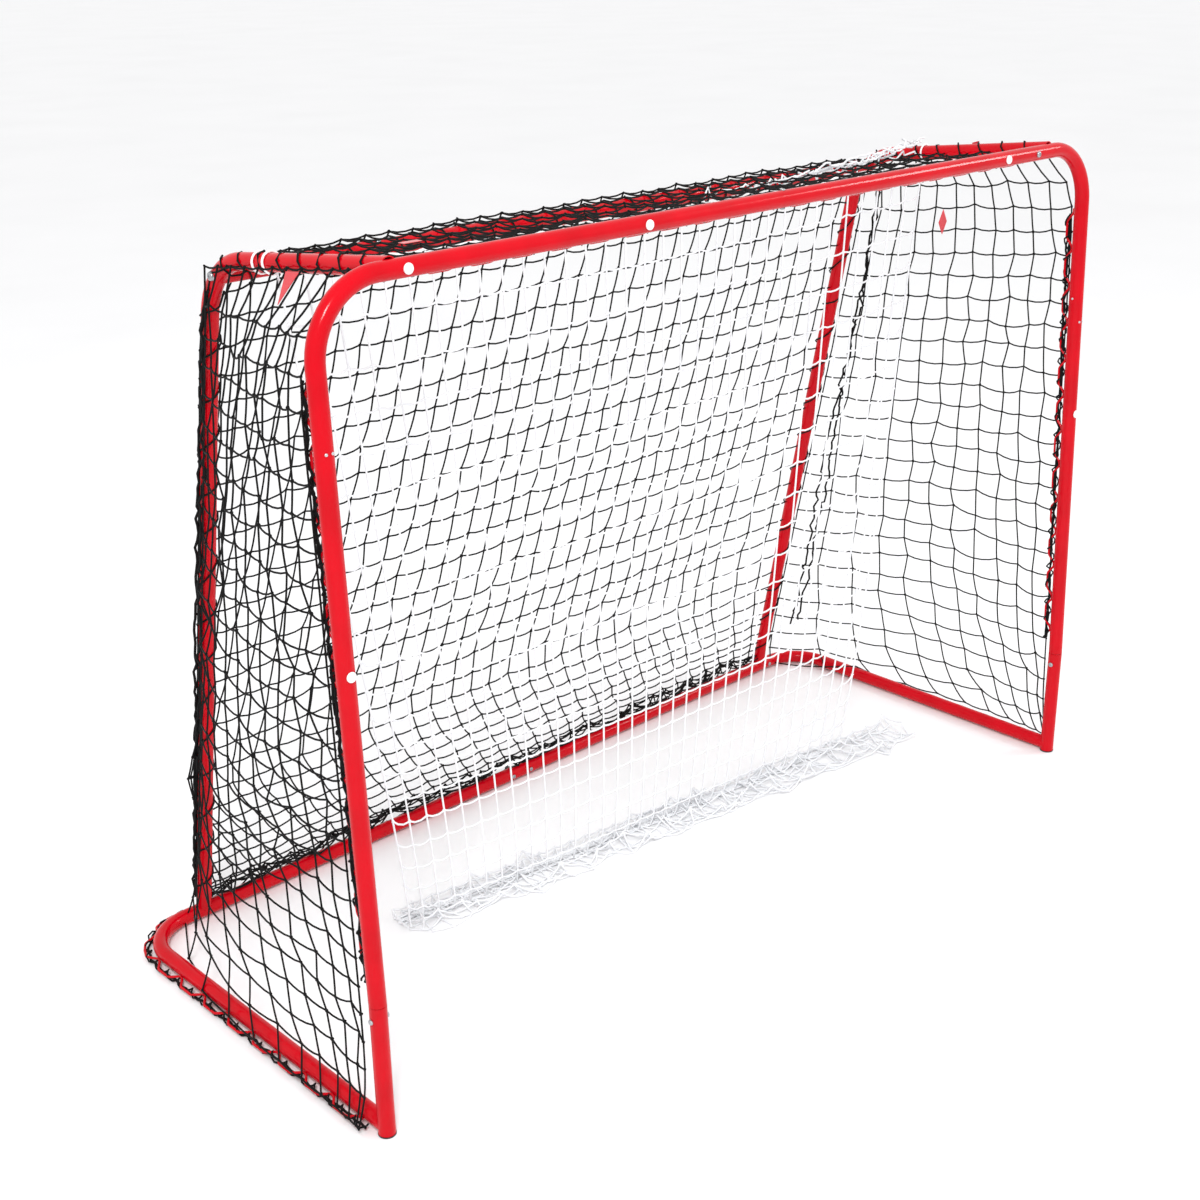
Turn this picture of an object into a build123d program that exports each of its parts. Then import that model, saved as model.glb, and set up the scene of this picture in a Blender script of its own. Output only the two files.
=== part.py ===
"""Floorball / street hockey goal, 1600 x 1150 mm inside the posts, with a drop net hung inside it.

Millimetres, +Z up, +X to the right and +Y to the rear as the shooter sees it. The origin is on the
floor, under the middle of the goal. The shooter stands at -Y.
"""
import math
import os

from build123d import *

# ---------------------------------------------------------------- driving dimensions
TUBE_D = 25.0            # outer diameter of every frame tube
WALL = 1.5               # tube wall
SPIGOT_D = 21.6          # inner joint pieces, 0.2 mm loose in the tube
MOUTH_W = 1600.0         # clear width between the posts
MOUTH_H = 1150.0         # clear height under the crossbar
BASE_DEPTH = 655.0       # post axis to rear base tube axis
FRONT_BEND_R = 98.0      # post to crossbar bend, on the axis
BASE_BEND_R = 82.0       # rear corners of the base, on the axis
REAR_BEND_R = 105.0      # upright to top side tube, on the axis
UPRIGHT_INSET = 116.0    # post axis to rear upright axis, across the goal
SEAM_Z = 210.0           # height of the joint between foot and post
LEAN = 2.0               # degrees that the front frame leans back above that joint
BASE_Z = 15.0            # axis height of the base tubes
CAP_T = 2.5              # flange of the plastic foot cap, which stands on the floor
REAR_CORNER = (430.0, 1123.0)   # depth and height where upright and top side tube would cross
REAR_BAR = (411.0, 1106.0)      # depth and height of the rear top tube
TOP_RISE = 4.0           # the top side tube meets the crossbar this much above its axis

ROD_D = 4.0              # lacing wire
ROD_PITCH = 66.0         # one loop of the lacing wire
ROD_OUT = 12.0           # how far a loop stands off the tube
BASE_ROD_ANGLE = 12.0    # degrees below level at which the base wires are welded
BAR_ROD_ANGLE = 38.0     # and the crossbar wires, behind the bar
CORD_D = 4.0             # lacing cord
GAP = 0.3                # clearance between a soft piece and its neighbour
FACET_GAP = 1.5          # the same along the folds of a side net

NET_T = 5.0              # thickness that stands for a knotted net
DROP_Y = 285.0           # depth of the head rope of the drop net
DROP_Z = 1118.0          # height of the head rope

# ---------------------------------------------------------------- derived places
R = TUBE_D / 2
HALF = MOUTH_W / 2 + R                      # post axis from the middle
UP_X = HALF - UPRIGHT_INSET                 # upright axis from the middle
BAR_Z = MOUTH_H + R                         # crossbar axis, measured along the post
ROD_R = R + ROD_D / 2 + 0.2                 # wire axis where it is tacked to the tube
HELIX_R = 6.6                               # lacing cord round the wire
REACH = (ROD_R + ROD_OUT + HELIX_R) * math.cos(math.radians(BASE_ROD_ANGLE)) + CORD_D / 2
FRONT_Y = -(BASE_DEPTH + REACH - R - 0.5) / 2   # post axis; centres the goal on the origin


def at(x, depth, z):
    """A point given by its depth behind the post axis."""
    return Vector(x, FRONT_Y + depth, z)


def leaning(x, height, out=0.0):
    """A point of the leaning front frame, out in front of its plane by out."""
    a = math.radians(LEAN)
    up = height - SEAM_Z
    return at(x, up * math.sin(a) - out * math.cos(a), SEAM_Z + up * math.cos(a) + out * math.sin(a))


def bent(points, radii):
    """Straight runs joined by tangent arcs."""
    return FilletPolyline(*points, radius=radii) if radii else Polyline(*points)


def tube(points, radii, inner=TUBE_D - 2 * WALL):
    """A round tube along a bent path; inner = 0 gives a solid bar."""
    path = bent(points, radii)
    start = path ^ 0
    section = Circle(R) - Circle(inner / 2) if inner else Circle(R)
    return sweep(Plane(origin=start.position, z_dir=path % 0) * section, path=path)


def bar(a, b, d):
    """A round bar from a to b."""
    axis = Vector(*b) - Vector(*a)
    return Plane(origin=a, z_dir=axis) * Cylinder(
        d / 2, axis.length, align=(Align.CENTER, Align.CENTER, Align.MIN)
    )


def mirrored(shape):
    return mirror(shape, about=Plane.YZ)


def save(name, *shapes):
    """One STEP file for each named piece, or for a group of like pieces."""
    solids = [s for shape in shapes for s in shape.solids()]
    export_step(solids[0] if len(solids) == 1 else Compound(children=solids), f"parts/{name}.step")


os.makedirs("parts", exist_ok=True)

# ---------------------------------------------------------------- frame tubes
POST_TOP = leaning(-HALF, BAR_Z)
front_path = [leaning(-HALF, SEAM_Z), POST_TOP, leaning(-0.1, BAR_Z)]
front_left = tube(front_path, [FRONT_BEND_R])
crossbar_solid = bar(leaning(-HALF, BAR_Z), leaning(HALF, BAR_Z), TUBE_D + 0.04)

foot_left = bar(at(-HALF, 0, CAP_T), at(-HALF, 0, SEAM_Z - 0.5), TUBE_D)
foot_left -= bar(at(-HALF, 0, 0), at(-HALF, 0, SEAM_Z), TUBE_D - 2 * WALL)
foot_solid = bar(at(-HALF, 0, 0), at(-HALF, 0, SEAM_Z), TUBE_D + 0.04)

base_path = [at(-HALF, 0, BASE_Z), at(-HALF, BASE_DEPTH, BASE_Z), at(-0.1, BASE_DEPTH, BASE_Z)]
base_left = tube(base_path, [BASE_BEND_R]) - foot_solid
base_solid = bar(at(-HALF, BASE_DEPTH, BASE_Z), at(HALF, BASE_DEPTH, BASE_Z), TUBE_D + 0.04)

upright_path = [
    at(-UP_X, BASE_DEPTH, BASE_Z),
    at(-UP_X, *REAR_CORNER),
    leaning(-UP_X, BAR_Z) + Vector(0, 0, TOP_RISE),
]
upright_left = tube(upright_path, [REAR_BEND_R]) - base_solid - crossbar_solid
upright_solid = tube(upright_path, [REAR_BEND_R], inner=0)

rear_bar = bar(at(-UP_X, *REAR_BAR), at(UP_X, *REAR_BAR), TUBE_D)
rear_bar -= bar(at(-UP_X, *REAR_BAR), at(UP_X, *REAR_BAR), TUBE_D - 2 * WALL)
rear_bar -= upright_solid
rear_bar -= mirrored(upright_solid)
rear_bar = max(rear_bar.solids(), key=lambda s: s.volume)

# ---------------------------------------------------------------- joint pieces inside the tubes
SPIGOT_LEN = 60.0
crossbar_spigot = bar(leaning(-SPIGOT_LEN, BAR_Z), leaning(SPIGOT_LEN, BAR_Z), SPIGOT_D)
crossbar_spigot -= bar(leaning(-SPIGOT_LEN, BAR_Z), leaning(SPIGOT_LEN, BAR_Z), SPIGOT_D - 3)
base_spigot = bar(at(-SPIGOT_LEN, BASE_DEPTH, BASE_Z), at(SPIGOT_LEN, BASE_DEPTH, BASE_Z), SPIGOT_D)
base_spigot -= bar(at(-SPIGOT_LEN, BASE_DEPTH, BASE_Z), at(SPIGOT_LEN, BASE_DEPTH, BASE_Z), SPIGOT_D - 3)


def foot_spigot(x, d):
    """Lower half upright in the foot, upper half leaning with the post."""
    lower = bar(at(x, 0, SEAM_Z - SPIGOT_LEN), at(x, 0, SEAM_Z), d)
    return lower + bar(at(x, 0, SEAM_Z), leaning(x, SEAM_Z + SPIGOT_LEN), d)


foot_spigot_left = foot_spigot(-HALF, SPIGOT_D - 0.2) - foot_spigot(-HALF, SPIGOT_D - 3.2)

# ---------------------------------------------------------------- plastic foot caps
cap = Pos(*at(-HALF, 0, 0)) * Cylinder(R + 0.5, CAP_T, align=(Align.CENTER, Align.CENTER, Align.MIN))
cap = fillet(cap.edges().filter_by(GeomType.CIRCLE).group_by(Axis.Z)[0], 1.0)
plug_bottom = at(-HALF, 0, CAP_T)
cap += bar(plug_bottom, plug_bottom + Vector(0, 0, 16), TUBE_D - 2 * WALL - 0.2)
cap -= bar(plug_bottom + Vector(0, 0, 2), plug_bottom + Vector(0, 0, 20), TUBE_D - 2 * WALL - 4)

# ---------------------------------------------------------------- fasteners
HEAD_D = 14.0            # white snap rivets
SHANK_D = 5.0
HOLE_PLAY = 0.4


def dome(base, outward, d, h):
    """A low domed head that sits on base and points outward."""
    face = Plane(origin=base, z_dir=outward)
    head = Cylinder(d / 2, h, align=(Align.CENTER, Align.CENTER, Align.MIN))
    return face * fillet(head.edges().filter_by(GeomType.CIRCLE).group_by(Axis.Z)[-1], h * 0.7)


def cross_slot(base, outward, d, h):
    """The driver recess in a head of height h."""
    face = Plane(origin=Vector(*base) + Vector(*outward).normalized() * (h - 0.9), z_dir=outward)
    arms = Box(d * 0.5, d * 0.12, 4) + Box(d * 0.12, d * 0.5, 4)
    return face * Pos(0, 0, 2) * arms


def through(centre, outward, head_d, head_h, shank_d, tail_d, tail_h, radius=R):
    """A fastener right through a tube: driven head, shank and the tail that holds it behind."""
    out = Vector(*outward).normalized()
    front = Vector(*centre) + out * (radius + 0.05)
    back = Vector(*centre) - out * (radius + 0.05)
    piece = dome(front, out, head_d, head_h) - cross_slot(front, out, head_d, head_h)
    piece += bar(back - out * tail_h, front + out * 0.5, shank_d)
    return piece + dome(back, out * -1, tail_d, tail_h)


def through_hole(centre, outward, d, radius=R):
    out = Vector(*outward).normalized()
    return bar(Vector(*centre) - out * (radius + 4), Vector(*centre) + out * (radius + 4), d + HOLE_PLAY)


FORWARD = leaning(0, 0, 1) - leaning(0, 0, 0)
snap_at = [leaning(x, BAR_Z) for x in (-678, -275, 561)]
snap_at += [leaning(x, 684) for x in (-HALF, HALF)]
snap_rivets = [through(c, FORWARD, HEAD_D, 2.6, SHANK_D, 7, 2.0) for c in snap_at]
crossbar_screw_at = leaning(648, BAR_Z)
crossbar_screw = through(crossbar_screw_at, FORWARD, 10, 3.2, SHANK_D, 7, 2.5)
seam_screw_at = leaning(9, BAR_Z)
seam_screw = through(seam_screw_at, (0, 0, -1), 8, 2.4, 4, 7, 2)

foot_screw_at = [at(x, 0, 188) for x in (-HALF, HALF)]
foot_screws = [through(c, (1 if c.X < 0 else -1, 0, 0), 9, 3, SHANK_D, 8, 3) for c in foot_screw_at]
base_screw_at = [at(x, BASE_DEPTH, BASE_Z) for x in (-22, 22)]
base_screws = [through(c, (0, -1, 0), 8, 2.2, 4, 7, 2) for c in base_screw_at]
shoe_screw_at = [at(s * (UP_X + 24), BASE_DEPTH, BASE_Z) for s in (-1, 1)]
shoe_screws = []
for c in shoe_screw_at:
    seat = c + Vector(0, -R - 0.05, 0)
    head = dome(seat, (0, -1, 0), 8, 2.2) - cross_slot(seat, (0, -1, 0), 8, 2.2)
    shoe_screws.append(head + bar(seat + Vector(0, 14, 0), seat - Vector(0, 0.5, 0), 4))
hook_at = [at(x, *REAR_BAR) for x in (-438, 254)]
hook_out = Vector(0, -0.5, 0.87)
rear_bar_screws = [through(c, hook_out, 9, 3, 4, 7, 2) for c in hook_at]

corner_bolt_left = dome(at(-UP_X - R - 0.05, *REAR_BAR), (-1, 0, 0), 13, 4)
corner_bolt_left -= cross_slot(at(-UP_X - R - 0.05, *REAR_BAR), (-1, 0, 0), 10, 4)
corner_bolt_left += bar(at(-UP_X - R - 1, *REAR_BAR), at(-UP_X + R + 30, *REAR_BAR), 6)
corner_hole = bar(at(-UP_X - R - 4, *REAR_BAR), at(-UP_X + R + 34, *REAR_BAR), 6 + HOLE_PLAY)
insert_left = bar(at(-UP_X + R + 12, *REAR_BAR), at(-UP_X + R + 28, *REAR_BAR), TUBE_D - 2 * WALL - 0.2)
insert_left -= corner_hole

RIVET_D = 4.2


def beside(x, height, angle):
    """Seat and direction of a blind rivet on a post, angle degrees round from its front."""
    a = math.radians(angle)
    out = FORWARD * math.cos(a) + Vector(1, 0, 0) * math.sin(a)
    return leaning(x, height) + out * (R + 0.05), out


def on_upright(height):
    """Seat and direction of a blind rivet on the outer side of the left upright."""
    run = Vector(*upright_path[1]) - Vector(*upright_path[0])
    seat = Vector(*upright_path[0]) + run * ((height - BASE_Z) / run.Z)
    return seat + Vector(-R - 0.05, 0, 0), Vector(-1, 0, 0)


rivet_seats = [beside(-HALF, 966, -21), beside(-HALF, 966, 21)]
rivet_seats += [beside(HALF, 854, -21), beside(HALF, 854, 21), beside(HALF, 896, -90)]
rivet_seats += [on_upright(990), on_upright(1016)]
blind_rivets = [dome(seat, out, RIVET_D, 1.3) for seat, out in rivet_seats]

front_right = mirrored(front_left)
for c in snap_at + [crossbar_screw_at]:
    front_left -= through_hole(c, FORWARD, SHANK_D)
    front_right -= through_hole(c, FORWARD, SHANK_D)
front_right -= through_hole(seam_screw_at, (0, 0, 1), 4)
crossbar_spigot -= through_hole(seam_screw_at, (0, 0, 1), 4)
foot_left -= through_hole(foot_screw_at[0], (1, 0, 0), SHANK_D)
foot_spigot_left -= through_hole(foot_screw_at[0], (1, 0, 0), SHANK_D)
base_left -= through_hole(base_screw_at[0], (0, 1, 0), 4)
base_left -= bar(shoe_screw_at[0], shoe_screw_at[0] - Vector(0, R + 4, 0), 4 + HOLE_PLAY)
for c in base_screw_at:
    base_spigot -= through_hole(c, (0, 1, 0), 4)
for c in hook_at:
    rear_bar -= through_hole(c, hook_out, 4)
upright_left -= corner_hole

save("front_frame_left", front_left)
save("front_frame_right", front_right)
save("crossbar_spigot", crossbar_spigot)
save("foot_left", foot_left)
save("foot_right", mirrored(foot_left))
save("foot_spigots", foot_spigot_left, mirrored(foot_spigot_left))
save("foot_caps", cap, mirrored(cap))
save("base_tube_left", base_left)
save("base_tube_right", mirrored(base_left))
save("base_spigot", base_spigot)
save("rear_upright_left", upright_left)
save("rear_upright_right", mirrored(upright_left))
save("rear_top_tube", rear_bar)
save("rear_tube_inserts", insert_left, mirrored(insert_left))
save("corner_bolts", corner_bolt_left, mirrored(corner_bolt_left))
save("snap_rivets", *snap_rivets)
save("crossbar_screw", crossbar_screw)
save("crossbar_seam_screw", seam_screw)
save("foot_screws", *foot_screws)
save("base_joint_screws", *base_screws)
save("upright_shoe_screws", *shoe_screws)
save("rear_tube_screws", *rear_bar_screws)
save("blind_rivets", *blind_rivets)

# ---------------------------------------------------------------- welded lacing wires
BEND_START = BASE_DEPTH - BASE_BEND_R
BEND_LEN = BASE_BEND_R * math.pi / 2
BASE_RUN = BEND_START + BEND_LEN + HALF - BASE_BEND_R


def tilted(angle, rho, t):
    """Reach and rise of a point rho out along a direction angle degrees below level, and t across it."""
    a = math.radians(angle)
    return rho * math.cos(a) + t * math.sin(a), t * math.cos(a) - rho * math.sin(a)


def on_base(s, rho, t=0.0):
    """Beside the left base tube: along its side, round the corner and along the rear."""
    reach, rise = tilted(BASE_ROD_ANGLE, rho, t)
    z = BASE_Z + rise
    if s < BEND_START:
        return at(-HALF - reach, s, z)
    if s < BEND_START + BEND_LEN:
        a = (s - BEND_START) / BASE_BEND_R
        out = BASE_BEND_R + reach
        return at(-HALF + BASE_BEND_R - out * math.cos(a), BEND_START + out * math.sin(a), z)
    return at(-HALF + BASE_BEND_R + s - BEND_START - BEND_LEN, BASE_DEPTH + reach, z)


def on_post(s, rho, t=0.0):
    """Behind the left post, s up from the floor."""
    return leaning(-HALF + t, s, -rho)


def on_bar(s, rho, t=0.0):
    """Behind and under the left half of the crossbar, s from the post."""
    reach, rise = tilted(BAR_ROD_ANGLE, rho, t)
    return leaning(-HALF + s, BAR_Z + rise, -reach)


def smooth(points, d, largest):
    """A round wire or cord through points, bent as gently as its short runs allow."""
    points = points[:1] + [
        b for a, b, c in zip(points, points[1:], points[2:]) if (b - a).get_angle(c - b) > 0.5
    ] + points[-1:]
    radii = []
    for a, b, c in zip(points, points[1:], points[2:]):
        turn = (b - a).get_angle(c - b)
        radii.append(min(largest, 0.44 * min((b - a).length, (c - b).length) / math.tan(math.radians(turn / 2))))
    path = bent(points, radii)
    return sweep(Plane(origin=path @ 0, z_dir=path % 0) * Circle(d / 2), path=path)


def spacing(start, end):
    count = round((end - start) / ROD_PITCH)
    return count, (end - start) / count


def lacing_wire(start, end, place):
    """Flat where it is tacked to the tube, then out and back again, once in each pitch."""
    count, pitch = spacing(start, end)
    points = []
    for i in range(count):
        for share, out in ((0.0, 0.0), (0.12, 0.0), (0.34, ROD_OUT), (0.56, ROD_OUT), (0.78, ROD_OUT)):
            points.append(place(start + (i + share) * pitch, ROD_R + out))
    points += [place(end, ROD_R), place(end + 0.12 * pitch, ROD_R)]
    return smooth(points, ROD_D, 9.0)


def lacing_cord(start, end, place):
    """One turn of cord round the outer run of each loop of the wire."""
    count, pitch = spacing(start, end)
    points = []
    for i in range(count):
        for share, turn in ((0.34, 0), (0.45, 90), (0.56, 180), (0.67, 270), (0.78, 360)):
            a = math.radians(turn)
            s = start + (i + share) * pitch
            points.append(place(s, ROD_R + ROD_OUT + HELIX_R * math.cos(a), HELIX_R * math.sin(a)))
    return smooth(points, CORD_D, 9.0)


wire_runs = {
    "base": (36, BASE_RUN - 50, on_base),
    "post": (SEAM_Z + 40, BAR_Z - FRONT_BEND_R - 20, on_post),
    "bar": (FRONT_BEND_R + 70, HALF - 40, on_bar),
}
for name, run in wire_runs.items():
    piece = lacing_wire(*run)
    save(f"lacing_wire_{name}_left", piece)
    save(f"lacing_wire_{name}_right", mirrored(piece))
    piece = lacing_cord(*run)
    save(f"lacing_cord_{name}", piece, mirrored(piece))

# the net is laced to the rear top tube by a cord wound round both
TURN_PITCH = 74.0
WRAP_R = (R + CORD_D / 2 + GAP) / math.cos(math.radians(36)) + 0.2
WRAP_END = UP_X - R - 34
turns = round(2 * WRAP_END / TURN_PITCH)
wrap = []
for i in range(turns * 5 + 1):
    a = math.radians(72 * i + 20)
    x = -WRAP_END + 2 * WRAP_END * i / (turns * 5)
    wrap.append(at(x, REAR_BAR[0] + WRAP_R * math.cos(a), REAR_BAR[1] + WRAP_R * math.sin(a)))
save("lacing_cord_rear_tube", smooth(wrap, CORD_D, 14.0))

# ---------------------------------------------------------------- nets, as plain closed solids
def slab(*points, t=NET_T):
    """A flat sheet of thickness t through points in one plane."""
    face = make_face(Polyline(*points, close=True))
    return extrude(face, amount=t / 2, both=True)


SIDE_X = UP_X + R + 9                       # side net, outside the uprights
BEHIND_WIRE = ROD_R + ROD_OUT + HELIX_R + CORD_D / 2 + 5
front_foot = at(-HALF, BEHIND_WIRE, 34)
front_top = leaning(-HALF, BAR_Z - FRONT_BEND_R - 8, -BEHIND_WIRE)
bar_corner = at(-SIDE_X, 78, 1136)
rear_top = at(-SIDE_X, 395, 1098)
rear_foot = at(-SIDE_X, BASE_DEPTH - 15, 45)
base_corner = at(-HALF, BEND_START - 8, 34)


def facet(*corners):
    """A flat piece of the side net, drawn in from its edges so that it stays clear of the next one."""
    face = offset(make_face(Polyline(*corners, close=True)), -FACET_GAP, kind=Kind.INTERSECTION)
    return extrude(face, amount=NET_T / 2, both=True)


net_side = [
    facet(front_top, bar_corner, rear_top),
    facet(front_foot, front_top, rear_top),
    facet(front_foot, rear_top, base_corner),
    facet(rear_top, rear_foot, base_corner),
]
save("net_side_left", *net_side)
save("net_side_right", *[mirrored(piece) for piece in net_side])

# the back net hangs behind the uprights
run = (at(0, *REAR_CORNER) - at(0, BASE_DEPTH, BASE_Z)).normalized()
behind = Vector(0, run.Z, -run.Y) * (R + 0.5 + NET_T / 2)
back_bottom = at(0, BASE_DEPTH, BASE_Z) + run * (36 / run.Z) + behind
back_top = at(0, BASE_DEPTH, BASE_Z) + run * (1102 / run.Z) + behind
wide = Vector(UP_X + R, 0, 0)
save("net_back", slab(back_bottom - wide, back_bottom + wide, back_top + wide, back_top - wide))

# its foot is gathered along the top of the rear base tube
bunch = Pos(*at(0, BASE_DEPTH + 2, BASE_Z + R + GAP + 9)) * Box(2 * (UP_X - R - 3), 24, 18)
save("net_back_foot", fillet(bunch.edges().filter_by(Axis.X), 7))

inside = Vector(UP_X - R - 8, 0, 0)
top_front = at(0, 82, 1157)
top_rear = at(0, 436, 1132)
save("net_top", slab(top_front - inside, top_front + inside, top_rear + inside, top_rear - inside))

# ---------------------------------------------------------------- drop net inside the goal
ROPE_D = 4.0
rope_end = UP_X - R - 5
save("drop_net_rope", bar(at(-rope_end, DROP_Y, DROP_Z), at(rope_end, DROP_Y, DROP_Z), ROPE_D))


def across(left, right, z):
    """A level strip of the drop net between two plan points."""
    corners = [(left[0], left[1] - NET_T / 2), (right[0], right[1] - NET_T / 2)]
    corners += [(right[0], right[1] + NET_T / 2), (left[0], left[1] + NET_T / 2)]
    return make_face(Polyline(*[at(x, y, z) for x, y in corners], close=True))


# narrower below, and its foot runs askew from the left rear to the right front
drop = loft([
    across((-UP_X + 22, DROP_Y), (UP_X - 22, DROP_Y), DROP_Z - ROPE_D / 2 - GAP - 0.3),
    across((-510, 358), (600, 290), 520),
    across((-480, 422), (505, 296), 72),
], ruled=True)
save("drop_net", drop)

HEAP_H = 48.0
heap_plan = [(-452, 392), (-140, 300), (90, 258), (420, 246), (640, 206), (655, 300), (446, 325),
             (174, 340), (-135, 392), (-370, 440)]
heap = extrude(make_face(Polyline(*[at(x, y, 0) for x, y in heap_plan], close=True)), amount=HEAP_H)
save("drop_net_heap", chamfer(heap.edges().group_by(Axis.Z)[-1], 14))

# white cord tied round the top side tubes
TIE_D = 3.2
top_run = Vector(*upright_path[2]) - Vector(*upright_path[1])
ties = []
for x, depth in ((-UP_X, 282), (-UP_X, 306), (UP_X, 285)):
    on_tube = Vector(*upright_path[1]) + top_run * ((depth - REAR_CORNER[0]) / top_run.Y)
    ring = Plane(origin=(x, on_tube.Y, on_tube.Z), z_dir=top_run) * Torus(R + TIE_D / 2 + GAP, TIE_D / 2)
    ties.append(ring)
save("drop_net_ties", *ties)

# ---------------------------------------------------------------- cut ends of red ribbon
RIBBON_W = 18.0
RIBBON_T = 0.8
outer = SIDE_X + NET_T + 2
ribbons = [
    slab(at(-SIDE_X - 3, 186, 1142), at(-SIDE_X - 3, 214, 1140), at(-SIDE_X - 28, 200, 1104),
         t=RIBBON_T),
    slab(at(-554, 190, 1154.5), at(-524, 190, 1154.5), at(-520, 208, 1153.2), at(-550, 208, 1153.2),
         t=RIBBON_T),
    slab(at(641, 200, 1054), at(653, 200, 1032), at(641, 200, 1010), at(629, 200, 1032), t=RIBBON_T),
    slab(at(outer, 190, 1136), at(outer, 208, 1134), at(outer, 206, 1160), at(outer, 192, 1164),
         t=RIBBON_T),
]
save("ribbon_ends", *ribbons)
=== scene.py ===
import math
import bpy
import numpy as np
from mathutils import Matrix, Vector


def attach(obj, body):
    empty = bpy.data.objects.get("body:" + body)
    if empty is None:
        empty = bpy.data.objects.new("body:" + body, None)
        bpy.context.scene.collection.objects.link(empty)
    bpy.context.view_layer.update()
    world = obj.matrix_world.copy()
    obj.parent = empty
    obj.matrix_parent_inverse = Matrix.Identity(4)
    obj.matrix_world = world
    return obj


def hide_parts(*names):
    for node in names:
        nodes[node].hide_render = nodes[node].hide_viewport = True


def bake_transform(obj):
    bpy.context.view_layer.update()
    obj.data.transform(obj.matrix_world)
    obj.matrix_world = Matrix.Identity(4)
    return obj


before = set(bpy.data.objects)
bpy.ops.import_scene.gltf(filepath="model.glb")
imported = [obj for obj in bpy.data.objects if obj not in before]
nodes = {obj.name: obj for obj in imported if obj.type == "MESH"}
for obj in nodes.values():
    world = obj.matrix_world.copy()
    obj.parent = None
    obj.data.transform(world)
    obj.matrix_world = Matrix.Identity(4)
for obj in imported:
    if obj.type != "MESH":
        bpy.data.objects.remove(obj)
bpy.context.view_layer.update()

# Front frame: two bent halves of 25 mm steel tube, powder coated a bright glossy red.
# They meet in the middle of the crossbar and stand in the two foot tubes below.
FRONT_Y = -338.29           # post axis; the rear of the goal is at +Y; mm
POST = 812.5                # post axis from the middle, mm
UPRIGHT = 696.5             # upright axis from the middle, mm
BASE_DEPTH = 655            # rear run of the base, behind the posts, mm
BASE_AXIS = 15              # base tube's axis above the floor, mm
TUBE_R = 0.0125             # metres, like the radii of the cords


def colour(text):
    """sRGB hex to linear RGBA."""
    parts = [int(text[i:i + 2], 16) / 255 for i in (1, 3, 5)]
    return tuple(c / 12.92 if c <= 0.04045 else ((c + 0.055) / 1.055) ** 2.4 for c in parts) + (1.0,)


def add(mat, kind, settings=None, links=None):
    """A node with its settings, and links from other nodes' outputs to its inputs."""
    node = mat.node_tree.nodes.new(kind)
    for key, value in (settings or {}).items():
        if isinstance(key, str) and hasattr(node, key):
            setattr(node, key, value)
        else:
            node.inputs[key].default_value = value
    for key, (source, output) in (links or {}).items():
        mat.node_tree.links.new(source.outputs[output], node.inputs[key])
    return node


def material(name, dark, light, grain_mm, roughness, spread, bump_mm, bump, **shader):
    """A surface whose colour and roughness wander a little, with a fine relief of its own."""
    mat = bpy.data.materials.new(name)
    mat.use_nodes = True
    mat.node_tree.nodes.clear()
    place = add(mat, "ShaderNodeTexCoord")
    patch = add(mat, "ShaderNodeTexNoise", {"Scale": 1000 / grain_mm, "Detail": 4.0},
                {"Vector": (place, "Object")})
    mix = add(mat, "ShaderNodeMix", {"data_type": "RGBA"}, {"Factor": (patch, "Fac")})
    mix.inputs[6].default_value = colour(dark)
    mix.inputs[7].default_value = colour(light)
    rough = add(mat, "ShaderNodeMapRange", {"To Min": roughness - spread, "To Max": roughness + spread},
                {"Value": (patch, "Fac")})
    fine = add(mat, "ShaderNodeTexNoise", {"Scale": 1000 / bump_mm, "Detail": 3.0},
               {"Vector": (place, "Object")})
    relief = add(mat, "ShaderNodeBump", {"Strength": bump, "Distance": 0.0004}, {"Height": (fine, "Fac")})
    surface = add(mat, "ShaderNodeBsdfPrincipled", shader,
                  {"Roughness": (rough, "Result"), "Normal": (relief, "Normal")})
    mat.node_tree.links.new(mix.outputs[2], surface.inputs["Base Color"])
    add(mat, "ShaderNodeOutputMaterial", None, {"Surface": (surface, "BSDF")})
    return mat


def finish_cad(mat, *names):
    """Gives parts of the frame their finish."""
    for name in names:
        if not nodes[name].material_slots:
            nodes[name].data.materials.append(mat)
        for slot in nodes[name].material_slots:
            slot.material = mat


red_coat = material("Red powder coat on steel", "#AE000E", "#D20018", 60, 0.15, 0.04, 1.6, 0.06,
                    **{"Specular IOR Level": 0.17})
finish_cad(red_coat, "front_frame_left", "front_frame_right")

# Feet: straight tubes that the front frame plugs into, each on a black plastic cap.
zinc = material("Zinc-plated steel", "#8F9194", "#C9CBCE", 5, 0.30, 0.08, 0.5, 0.15, Metallic=1.0)
black_plastic = material("Moulded black plastic", "#0B0B0C", "#1A1A1C", 12, 0.50, 0.10, 0.8, 0.25)
finish_cad(red_coat, "foot_left", "foot_right")
finish_cad(black_plastic, "foot_caps")
finish_cad(zinc, "foot_spigots", "crossbar_spigot", "base_spigot", "rear_tube_inserts")

# Base: a U of the same tube on the floor, in two halves joined in the middle of its rear run.
finish_cad(red_coat, "base_tube_left", "base_tube_right")

# Uprights with their top side tubes, and the tube across between them at the top.
finish_cad(red_coat, "rear_upright_left", "rear_upright_right", "rear_top_tube")

# Fasteners: plated screws and bolts, small bare rivets, and larger snap rivets with white heads.
white_paint = material("White painted rivet heads", "#DADADA", "#F6F6F6", 6, 0.32, 0.06, 0.7, 0.10)
bare_aluminium = material("Bare aluminium rivets", "#B9BBBE", "#E2E3E5", 3, 0.34, 0.08, 0.5, 0.15,
                          Metallic=1.0)
finish_cad(zinc, "corner_bolts", "crossbar_screw", "crossbar_seam_screw", "foot_screws",
           "base_joint_screws", "upright_shoe_screws", "rear_tube_screws")
finish_cad(white_paint, "snap_rivets")
finish_cad(bare_aluminium, "blind_rivets")

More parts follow.
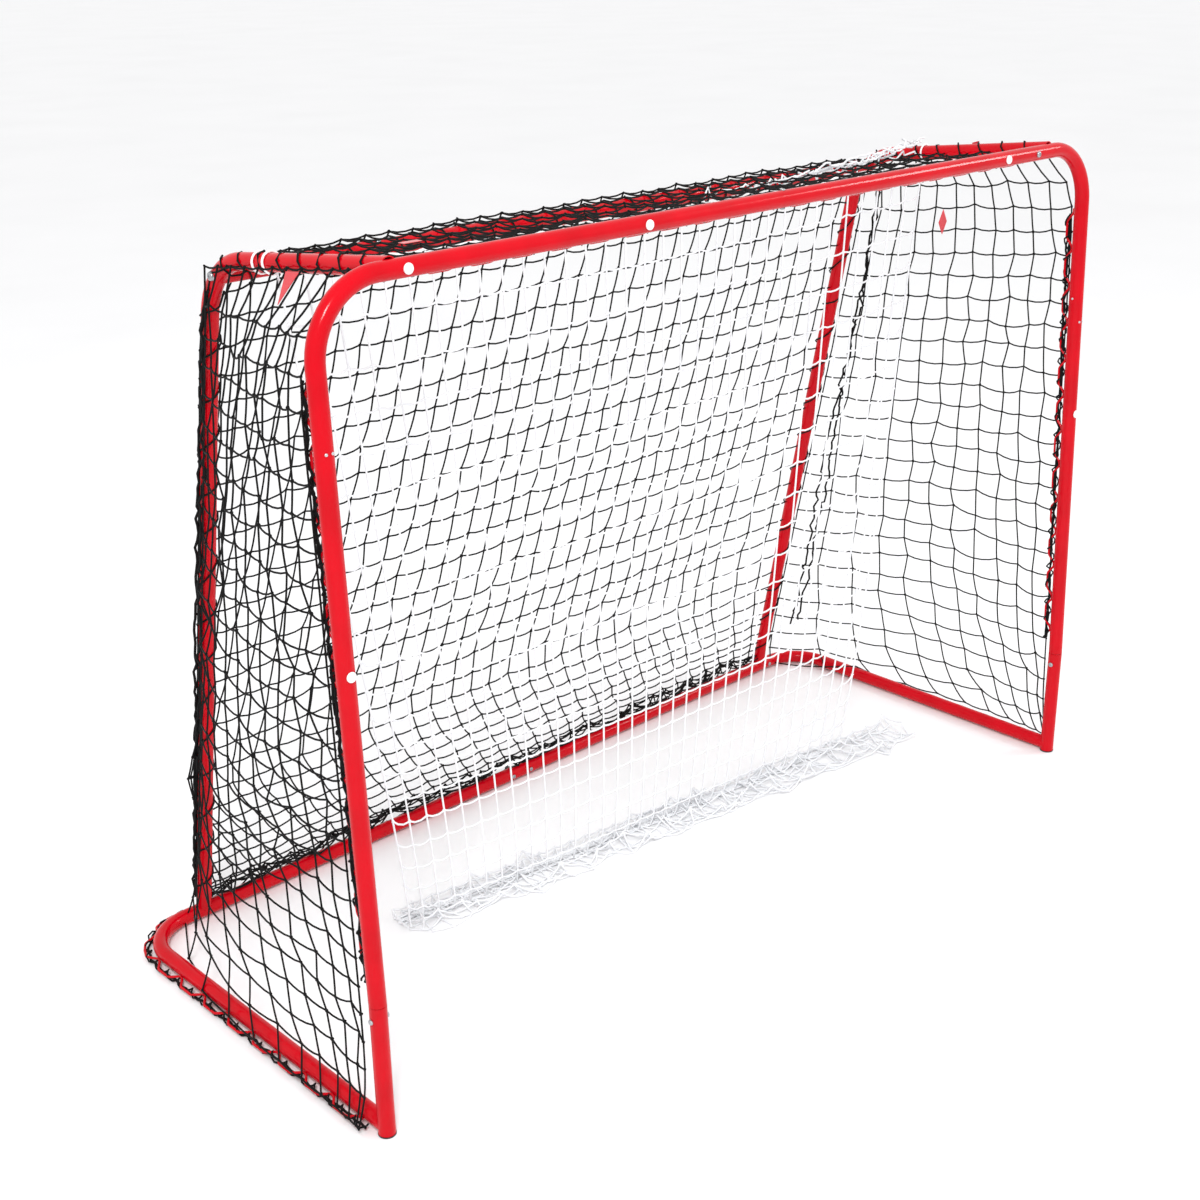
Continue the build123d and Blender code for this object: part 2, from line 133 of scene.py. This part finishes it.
# Lacing wires: steel wire bent in and out, tacked to the tubes and coated with them.
finish_cad(red_coat, "lacing_wire_base_left", "lacing_wire_base_right", "lacing_wire_post_left",
           "lacing_wire_post_right", "lacing_wire_bar_left", "lacing_wire_bar_right")


# Lacing cords: soft black braid wound round the wires and the net's edge.
def cord_material(name, dark, light, lay_mm, roughness, **shader):
    """Twisted yarn: slanting grooves along each strand, with fuzz and patches of wear."""
    mat = bpy.data.materials.new(name)
    mat.use_nodes = True
    mat.node_tree.nodes.clear()
    place = add(mat, "ShaderNodeTexCoord")
    patch = add(mat, "ShaderNodeTexNoise", {"Scale": 45.0, "Detail": 5.0}, {"Vector": (place, "Object")})
    mix = add(mat, "ShaderNodeMix", {"data_type": "RGBA"}, {"Factor": (patch, "Fac")})
    mix.inputs[6].default_value = colour(dark)
    mix.inputs[7].default_value = colour(light)
    fuzz = add(mat, "ShaderNodeTexNoise", {"Scale": 2600.0, "Detail": 2.0}, {"Vector": (place, "Object")})
    bands = {"Scale": 1000 / lay_mm / 20, "Distortion": 1.5, "bands_direction": "DIAGONAL"}
    lay = add(mat, "ShaderNodeTexWave", bands, {"Vector": (place, "Object")})
    height = add(mat, "ShaderNodeMath", {"operation": "MULTIPLY_ADD", 1: 0.5},
                 {0: (lay, "Fac"), 2: (fuzz, "Fac")})
    relief = add(mat, "ShaderNodeBump", {"Strength": 0.5, "Distance": 0.0005}, {"Height": (height, 0)})
    surface = add(mat, "ShaderNodeBsdfPrincipled", {"Roughness": roughness, **shader},
                  {"Normal": (relief, "Normal")})
    mat.node_tree.links.new(mix.outputs[2], surface.inputs["Base Color"])
    add(mat, "ShaderNodeOutputMaterial", None, {"Surface": (surface, "BSDF")})
    return mat


black_yarn = cord_material("Black twisted nylon", "#020202", "#0A0A0B", 3.0, 0.66,
                           **{"Specular IOR Level": 0.18})


# Black net: knotted nylon, one piece over the top and down the back, and one on each side.
# The knots stay where the net is laid, and only the cord between them sags a little.
def goal(x, depth, z):
    """Millimetres across, behind the posts and up, to a point of the frame in metres."""
    return np.stack(np.broadcast_arrays(x, depth + FRONT_Y, z), -1) * 0.001


ON_FLOOR = 0.0045           # lowest height of a cord's axis, clear of the floor with its knots


def net_grid(knots, slack, seed):
    """Particles and cords of a net whose knots form a grid; each bar has two points between its knots."""
    rng = np.random.default_rng(seed)
    rows, cols = knots.shape[:2]
    number = np.arange(rows * cols).reshape(rows, cols)
    ends = np.concatenate([
        np.stack([number[:, :-1].ravel(), number[:, 1:].ravel()], 1),
        np.stack([number[:-1].ravel(), number[1:].ravel()], 1),
    ])
    flat = knots.reshape(-1, 3)
    span = flat[ends[:, 1]] - flat[ends[:, 0]]
    length = np.linalg.norm(span, axis=1) * (1 + slack * rng.uniform(0.2, 1.8, len(ends)))
    inner = np.stack([flat[ends[:, 0]] + span * f for f in (1 / 3, 2 / 3)], 1)
    inner += rng.normal(0, 0.0012, inner.shape)
    first = len(flat) + 2 * np.arange(len(ends))
    strands = np.stack([ends[:, 0], first, first + 1, ends[:, 1]], 1)
    points = np.concatenate([flat, inner.reshape(-1, 3)])
    return points, strands, length


def settle(points, strands, length, held, steps, drop, rods=(), rounds=8):
    """Slack cords under gravity: they hardly stretch, bend softly, stay outside the tubes (rods) and
    grip the floor that they touch. Each step adds drop, in metres, to their fall."""
    links = np.concatenate([strands[:, k:k + 2] for k in range(3)])
    rest = np.tile(length / 3, 3)
    share = np.bincount(links.ravel(), minlength=len(points))[:, None]
    free = ~held
    old = points.copy()
    for _ in range(steps):
        move = (points - old) * 0.90
        old = points.copy()
        points[free] += move[free]
        points[free, 2] -= drop
        for _ in range(rounds):
            d = points[links[:, 1]] - points[links[:, 0]]
            size = np.linalg.norm(d, axis=1)
            pull = d * (np.maximum(size - rest, 0) / np.maximum(size, 1e-9) * 0.5)[:, None]
            shift = np.stack([np.bincount(links[:, 0], pull[:, k], len(points))
                              - np.bincount(links[:, 1], pull[:, k], len(points)) for k in range(3)], 1)
            points[free] += (shift / share * 1.7)[free]
        for a, b, c in ((0, 1, 2), (1, 2, 3)):
            middle = (points[strands[:, a]] + points[strands[:, c]]) / 2
            points[strands[:, b]] += (middle - points[strands[:, b]]) * 0.12
        for a, b, reach in rods:
            run = b - a
            foot = a + np.clip(((points - a) @ run) / (run @ run), 0, 1)[:, None] * run
            away = points - foot
            far = np.maximum(np.linalg.norm(away, axis=1, keepdims=True), 1e-9)
            points += np.where(far < reach, away * (reach / far - 1), 0)
        low = points[:, 2] < ON_FLOOR
        points[low, 2] = ON_FLOOR
        points[low, :2] = old[low, :2]
    return points


def tubes(lines, radius, sides=5):
    """Open round tubes along polylines of equal length: (vertices, quads)."""
    tangent = np.gradient(lines, axis=1)
    tangent /= np.maximum(np.linalg.norm(tangent, axis=2, keepdims=True), 1e-9)
    side = np.eye(3)[np.argmin(np.abs(lines[:, -1] - lines[:, 0]), axis=1)][:, None]
    u = np.cross(tangent, side)
    u /= np.maximum(np.linalg.norm(u, axis=2, keepdims=True), 1e-9)
    v = np.cross(tangent, u)
    turn = np.arange(sides) * 2 * math.pi / sides
    ring = u[:, :, None] * np.cos(turn)[:, None] + v[:, :, None] * np.sin(turn)[:, None]
    vertices = lines[:, :, None] + ring * radius
    count, rings = lines.shape[:2]
    index = np.arange(count * rings * sides).reshape(count, rings, sides)
    across = np.roll(index, -1, axis=2)
    quads = np.stack([index[:, :-1], across[:, :-1], across[:, 1:], index[:, 1:]], -1)
    return vertices.reshape(-1, 3), quads.reshape(-1, 4)


def lumps(centres, size, seed):
    """A small turned lump of cord for each knot."""
    rng = np.random.default_rng(seed)
    ring = np.arange(6) * math.pi / 3
    ball = [(0, 0, 1)]
    for z in (0.5, -0.5):
        ball += [(0.87 * math.cos(a), 0.87 * math.sin(a), z) for a in ring]
    ball = np.array(ball + [(0, 0, -1)]) * (1.0, 0.8, 1.25)
    quads = [(0, 1 + k, 1 + (k + 1) % 6, 1 + (k + 1) % 6) for k in range(6)]
    quads += [(1 + k, 7 + k, 7 + (k + 1) % 6, 1 + (k + 1) % 6) for k in range(6)]
    quads += [(7 + k, 13, 7 + (k + 1) % 6, 7 + (k + 1) % 6) for k in range(6)]
    turn = np.linalg.qr(rng.normal(size=(len(centres), 3, 3)))[0]
    grow = size * rng.uniform(0.85, 1.2, (len(centres), 1, 1))
    vertices = centres[:, None] + np.einsum("nij,kj->nki", turn, ball) * grow
    faces = np.arange(len(centres))[:, None, None] * len(ball) + np.array(quads)
    return vertices.reshape(-1, 3), faces.reshape(-1, 4)


def build(name, parts, mat, body):
    """One piece from several (vertices, quads); a quad that repeats its last corner is a triangle.
    It moves with body, unless that is None."""
    vertices, faces, offset = [], [], 0
    for v, q in parts:
        vertices.append(v)
        faces += [tuple(f[:3]) if f[2] == f[3] else tuple(f) for f in (q + offset).tolist()]
        offset += len(v)
    mesh = bpy.data.meshes.new(name)
    mesh.from_pydata(np.concatenate(vertices).tolist(), [], faces)
    mesh.polygons.foreach_set("use_smooth", [True] * len(mesh.polygons))
    mesh.materials.append(mat)
    piece = bpy.data.objects.new(name, mesh)
    bpy.context.scene.collection.objects.link(piece)
    if body:
        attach(piece, body)
    return piece


BLACK_R = 0.00145           # 2.9 mm yarn
BLACK_BAR = 0.0432          # knot to knot
CLEAR = TUBE_R + 0.0022     # how close a cord's axis comes to a tube's


def black_net(name, knots, slack, seed, lump_seed, rods, loose_rows=0):
    """A black net on its laid-out knots; bars of the last loose_rows are never drawn short."""
    rows, cols = knots.shape[:2]
    points, strands, length = net_grid(knots, slack, seed)
    loose = strands[:, 3] // cols >= rows - loose_rows
    length[loose] = np.maximum(length[loose], BLACK_BAR * 0.8)
    held = np.arange(len(points)) < rows * cols
    points = settle(points, strands, length, held, 24, 0.00022, rods)
    cords = tubes(points[strands], BLACK_R)
    return build(name, [cords, lumps(points[:rows * cols], 0.0024, lump_seed)], black_yarn, "goal")


# The back net runs from the crossbar over the rear top tube and down behind the uprights.
# Its columns lean over and swing back near the floor, where the last rows are gathered on the base.
cols, top_rows, gathered = 34, 9, 5
FALL = 1096                 # run of the net from the rear top tube to the gathered rows, mm
SWING = 880                 # where the columns stop leaning over and swing back, mm
u = np.linspace(0, 1, cols)[None, :]
spread = 2 * u - 1
gaps = np.concatenate([np.full(20, 42.0), [40, 37, 34, 31, 28, 25, 22, 18, 14]])
down = np.concatenate([[0], np.cumsum(gaps)])
down *= FALL / down[-1]
t = np.linspace(0, 1, top_rows)[:, None]
outer = 1 - np.clip(np.minimum(u, 1 - u) / 0.05, 0, 1)
over = goal(spread * (700 + 9 * t), 48 + 370 * t - 6 * outer * t ** 8,
            1166 - 41 * t - 7 * np.sin(np.pi * t) * np.sin(np.pi * u) - 14 * outer * t ** 8)
s = down[1:, None]
edge = np.clip(np.minimum(u, 1 - u) / 0.10, 0, 1)
rise, fall = s / SWING, 1 - (s - SWING) / (FALL - SWING) * 0.95
lean = np.log(np.exp(-9 * rise) + np.exp(-9 * fall)) / 9 * (175 - 75 * u) * edge
sag = np.sin(np.pi * np.clip(s / FALL, 0, 1)) * np.sin(np.pi * u) ** 0.5
bend = 18 * outer * np.exp(-(s / 60) ** 2)
back = goal(709 * spread + lean, 425 + s * 0.2 + 10 - 14 * sag - bend, 1122 - s * 0.982 - bend)
rng = np.random.default_rng(3)
gather = []
for k in range(gathered):
    a = rng.uniform(0, 2 * math.pi, cols)
    x = 690 * spread[0] + rng.normal(0, 8, cols) + 4 * k
    gather.append(goal(x, 657 + 12 * np.cos(a), 40 + 9 * np.sin(a)))
gather.append(goal(709 * spread[0], 676, 10))
knots = np.concatenate([over, back, np.stack(gather)])
knots[1:-1, 1:-1] += rng.normal(0, 0.0016, knots[1:-1, 1:-1].shape)
rear_base = (goal(-740, BASE_DEPTH, BASE_AXIS), goal(740, BASE_DEPTH, BASE_AXIS), CLEAR)
net_back = black_net("net_top_and_back", knots, 0.004, 11, 5, [rear_base], loose_rows=9)
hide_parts("net_top", "net_back", "net_back_foot")

# Side nets: fixed behind the post and outside the upright, and carried over the base tube to its wire.
for name, sign, seed in (("left", -1, 21), ("right", 1, 22)):
    cols, rows = 12, 27
    u = np.linspace(0, 1, cols)[None, :]
    v = np.linspace(0, 1, rows)[:, None]
    lift = 12 + 1128 * v
    front_depth = 22 + 33 * v
    rear_depth = 652 - 232 * v ** 0.97
    drift = u ** (1 + 0.95 * np.exp(-v / 0.17))
    depth = front_depth + (rear_depth - front_depth) * drift
    top_row = np.clip((v - 0.96) / 0.04, 0, 1)
    corner = (np.clip((v - 0.90) / 0.10, 0, 1) ** 2 * 62 + top_row * 44) * (1 - u)
    front_x, rear_x = POST + 9, UPRIGHT + 16
    inset = front_x + (rear_x - front_x) * drift ** (1.0 + 3.0 * (1 - v)) - corner
    flare = np.exp(-v * 26) * 22
    height = lift - 34 * u * v + 10 * np.sin(np.pi * u) * (1 - v) ** 2 + (22 - 9 * u) * top_row
    knots = goal(sign * (inset + flare), depth, height)
    rng = np.random.default_rng(seed + 60)
    knots[1:-1, 1:-1] += rng.normal(0, 0.0030, knots[1:-1, 1:-1].shape)
    x = sign * POST
    base = (goal(x, 0, BASE_AXIS), goal(x, 590, BASE_AXIS), CLEAR)
    x = sign * UPRIGHT
    upright = (goal(x, BASE_DEPTH, BASE_AXIS), goal(x, 445, 1050), CLEAR)
    side = black_net("side_net_" + name, knots, 0.006, seed, seed, [base, upright])
    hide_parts("net_side_" + name)


# Edge lacing: the same black cord wound round the uprights and top side tubes, over the nets' edges.
def helix(line, radius, pitch, wobble, seed):
    """A wound cord about a polyline, as points about 6 mm apart."""
    rng = np.random.default_rng(seed)
    line = np.array(line)
    runs = np.linalg.norm(np.diff(line, axis=0), axis=1)
    total = runs.sum()
    s = np.arange(0, total, 0.006)
    at = np.stack([np.interp(s, np.concatenate([[0], np.cumsum(runs)]), line[:, k]) for k in range(3)], 1)
    d = np.gradient(at, axis=0)
    d /= np.linalg.norm(d, axis=1, keepdims=True)
    flat_run = abs(line[-1, 0] - line[0, 0]) < 0.05
    u = np.cross(d, (1.0, 0.0, 0.0) if flat_run else (0.0, 0.0, 1.0))
    u /= np.linalg.norm(u, axis=1, keepdims=True)
    v = np.cross(d, u)
    a = s / pitch * 2 * math.pi + np.interp(s, np.linspace(0, total, 40), rng.normal(0, wobble, 40))
    return at + (u * np.cos(a)[:, None] + v * np.sin(a)[:, None]) * radius


def wander(line, amount, seed):
    """A polyline of points 12 mm apart that strays by amount, as a bunched edge does."""
    rng = np.random.default_rng(seed)
    line = np.array(line)
    runs = np.concatenate([[0], np.cumsum(np.linalg.norm(np.diff(line, axis=0), axis=1))])
    s = np.arange(0, runs[-1], 0.012)
    at = np.stack([np.interp(s, runs, line[:, k]) for k in range(3)], 1)
    return at + np.cumsum(rng.normal(0, amount, at.shape), axis=0) * 0.25 + rng.normal(0, amount, at.shape)


BASE_BEND = 82              # axis radius of the base tube's corners, mm
WIRE_OUT = 21               # the wire's cord, out from the base tube's axis, mm
LACE_R = 0.0015             # 3 mm cord
bend_out = BASE_BEND + WIRE_OUT
quarter = np.radians(np.linspace(0, 90, 8))
for name, sign, seed in (("left", -1, 31), ("right", 1, 32)):
    x = sign * UPRIGHT
    upright = goal(np.full(5, x), np.array([648, 560, 470, 440, 425]), np.array([52, 486, 929, 1060, 1090]))
    side_tube = goal(np.full(3, x), np.array([392, 330, 60]), np.array([1120, 1134, 1163]))
    out = np.concatenate([[POST + WIRE_OUT] * 2, POST - BASE_BEND + bend_out * np.cos(quarter), [0]])
    back = np.concatenate([[20, 560], BASE_DEPTH - BASE_BEND + bend_out * np.sin(quarter),
                           [BASE_DEPTH + WIRE_OUT]])
    base = goal(sign * out, back, np.full(len(out), 9.0))
    post = goal(np.full(2, sign * POST), np.array([23, 52]), np.array([236, 1040]))
    bar = goal(sign * np.array([700, 0]), np.array([52, 52]), np.array([1150, 1150]))
    windings = [
        helix(upright, TUBE_R + 0.0022, 0.072, 0.6, seed),
        helix(side_tube, TUBE_R + 0.0022, 0.045, 0.4, seed + 2),
        helix(base, 0.0058, 0.033, 0.7, seed + 4),
        helix(post, 0.0065, 0.036, 0.7, seed + 6),
        helix(bar, 0.0050, 0.040, 0.5, seed + 8),
    ]
    edge = upright + np.array([sign * 0.0165, 0.002, 0])
    bunched = [wander(edge, 0.0016, seed + 10), wander(edge, 0.0020, seed + 12),
               wander(base, 0.0010, seed + 14), wander(post, 0.0014, seed + 16),
               wander(post, 0.0018, seed + 18)]
    # The right net's spare width is bunched in a line down beside the upright.
    if sign > 0:
        seam = goal(np.array([722, 731, 738, 752]), np.array([398, 432, 515, 600]),
                    np.array([1112, 900, 500, 110]))
        bunched += [wander(seam, 0.0030, seed + 20), wander(seam, 0.0024, seed + 22)]
    parts = [tubes(line[None], LACE_R, 6) for line in windings]
    parts += [tubes(line[None], 0.0021, 6) for line in bunched]
    lacing = build("edge_lacing_" + name, parts, black_yarn, "goal")
    if sign < 0:
        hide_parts("lacing_cord_base", "lacing_cord_post", "lacing_cord_bar")
LACED, PITCH, COIL_R = 1360, 43, 14.8    # run along the rear top tube, one turn's advance, radius; mm
twist = np.radians(np.arange(0, LACED / PITCH * 360, 40))
rear_line = goal(-LACED / 2 + np.degrees(twist) / 360 * PITCH,
                 411 + COIL_R * np.cos(twist), 1106 + COIL_R * np.sin(twist))
rear_lacing = build("rear_tube_lacing", [tubes(rear_line[None], LACE_R, 6)], black_yarn, "goal")
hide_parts("lacing_cord_rear_tube")

# Drop net: soft white knotted net hung on a rope inside the goal, wider at the top than at the floor.
# It hangs askew, its sides are drawn in, and its last rows lie curled up on the floor.
white_yarn = cord_material("White twisted polyester", "#DFE1E5", "#F7F8FA", 3.5, 0.72,
                           **{"Sheen Weight": 0.1})
WHITE_R = 0.00165           # 3.3 mm yarn
ROPE_DEPTH = 285.0          # behind the posts, mm
HEAD_Z, HEM_Z = 1126, 18    # first and last hanging rows, mm
cols, rows, curled = 34, 28, 7
u = np.linspace(0, 1, cols)[None, :]
v = np.linspace(0, 1, rows)[:, None]
z = HEAD_Z - (HEAD_Z - HEM_Z) * v
left = np.interp(z, [HEM_Z, 220, 460, 1040, HEAD_Z], [-478, -482, -505, -618, -688])
right = np.interp(z, [HEM_Z, 140, 260, 890, HEAD_Z], [655, 520, 525, 682, 690])
pack = u + 0.018 * np.sin(2 * np.pi * u) * v
x = left + (right - left) * pack
foot = np.interp(x, [-500, 650], [428, 290])
depth = ROPE_DEPTH + (foot - ROPE_DEPTH) * v
rope_sag = 14 * np.sin(np.pi * u) * (1 - v)
hanging = goal(x, depth, z - rope_sag)
rng = np.random.default_rng(41)
heap = []
for k in range(1, curled + 1):
    fold = (0.5 - 0.5 * math.cos(k * 1.35)) * 78
    heap.append(goal(x[-1] + rng.normal(0, 6, cols) + 3 * k, foot[-1] - fold + rng.normal(0, 9, cols),
                     4 + rng.uniform(0, 25, cols)))
knots = np.concatenate([hanging, np.stack(heap)])
points, strands, length = net_grid(knots, 0.025, 42)
grid = np.arange(len(knots) * cols).reshape(len(knots), cols)
held = np.zeros(len(points), bool)
held[grid[0]] = held[grid[rows - 1]] = True
held[grid[rows:][rng.random((curled, cols)) < 0.45]] = True
points = settle(points, strands, length, held, 90, 0.0005, rounds=14)
cords = tubes(points[strands], WHITE_R)
drop_net = build("drop_net_white", [cords, lumps(points[grid.ravel()], 0.0029, 43)], white_yarn, None)
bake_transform(drop_net)
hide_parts("drop_net", "drop_net_heap")

# Head rope of the drop net, threaded through its top row and tied round the top side tubes.
white_rope = cord_material("White braided cord", "#E9EAEC", "#FFFFFF", 4.0, 0.70)
s = np.linspace(0, 1, 230)
rng = np.random.default_rng(44)
wave = np.interp(s, np.linspace(0, 1, 60), rng.normal(0, 2.2, 60))
rope = goal(-679 + 1358 * s, ROPE_DEPTH + wave, 1127 - 14 * np.sin(np.pi * s) + 2 * np.sin(s * 116))
rope_piece = build("drop_net_head_rope", [tubes(rope[None], 0.002, 8)], white_rope, "goal")
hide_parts("drop_net_rope")
spare = [wander(goal(np.array([120.0 + 70 * k, 560, 682]), np.array([284.0, 290 - 6 * k, 286]),
                     np.array([1130.0, 1141 + 3 * k, 1150])), 0.0042, 50 + k) for k in range(6)]
# The drop net's spare top lies gathered along the rope at the right.
spare_piece = build("drop_net_spare_top", [tubes(line[None], WHITE_R) for line in spare], white_yarn, "goal")
finish_cad(white_rope, "drop_net_ties")

# Cut ends of red ribbon, left where the folded nets were tied for packing.
ribbon_satin = material("Red satin ribbon", "#B3091C", "#D8152B", 9, 0.38, 0.08, 0.5, 0.35,
                        **{"Sheen Weight": 0.3})
finish_cad(ribbon_satin, "ribbon_ends")

# Studio: pale floor, soft light from all round and a brighter panel above and to the left.
floor_mesh = bpy.data.meshes.new("floor")
floor_mesh.from_pydata([(-60, -60, 0), (60, -60, 0), (60, 60, 0), (-60, 60, 0)], [], [(0, 1, 2, 3)])
floor = bpy.data.objects.new("floor", floor_mesh)
bpy.context.scene.collection.objects.link(floor)
floor_mesh.materials.append(material("Pale studio floor", "#F3F3F4", "#FBFBFC", 900, 0.60, 0.05, 20, 0.02))

world = bpy.data.worlds.new("Soft studio")
bpy.context.scene.world = world
world.use_nodes = True
world.node_tree.nodes["Background"].inputs["Color"].default_value = colour("#FFFFFF")
world.node_tree.nodes["Background"].inputs["Strength"].default_value = 1.0


def panel(name, place, target, size, power):
    """A square soft light that faces its target."""
    light = bpy.data.lights.new(name, "AREA")
    light.shape = "SQUARE"
    light.size = size
    light.energy = power
    lamp = bpy.data.objects.new(name, light)
    lamp.location = place
    lamp.rotation_euler = (Vector(target) - Vector(place)).to_track_quat("-Z", "Y").to_euler()
    bpy.context.scene.collection.objects.link(lamp)


panel("key", (-2.6, -2.4, 3.6), (0, 0, 0.6), 0.8, 110)
panel("fill", (3.2, -1.8, 2.6), (0, 0, 0.5), 0.8, 30)

# Camera: in front and to the left, above the crossbar, looking down into the mouth.
YAW, PITCH, ROLL = 0.7580, 0.3819, -0.0155
eye = Vector((-1.90075, -1.92796, 1.54627))
ahead = Vector((math.sin(YAW) * math.cos(PITCH), math.cos(YAW) * math.cos(PITCH), -math.sin(PITCH)))
across = Vector((math.cos(YAW), -math.sin(YAW), 0))
up = across.cross(ahead)
right = across * math.cos(ROLL) + up * math.sin(ROLL)
above = up * math.cos(ROLL) - across * math.sin(ROLL)
camera = bpy.data.objects.new("camera", bpy.data.cameras.new("camera"))
bpy.context.scene.collection.objects.link(camera)
camera.matrix_world = Matrix((
    (right.x, above.x, -ahead.x, eye.x),
    (right.y, above.y, -ahead.y, eye.y),
    (right.z, above.z, -ahead.z, eye.z),
    (0, 0, 0, 1),
))
bpy.context.scene.view_settings.view_transform = "Standard"
camera.data.sensor_width = 36
camera.data.lens = 51.28
bpy.context.scene.camera = camera
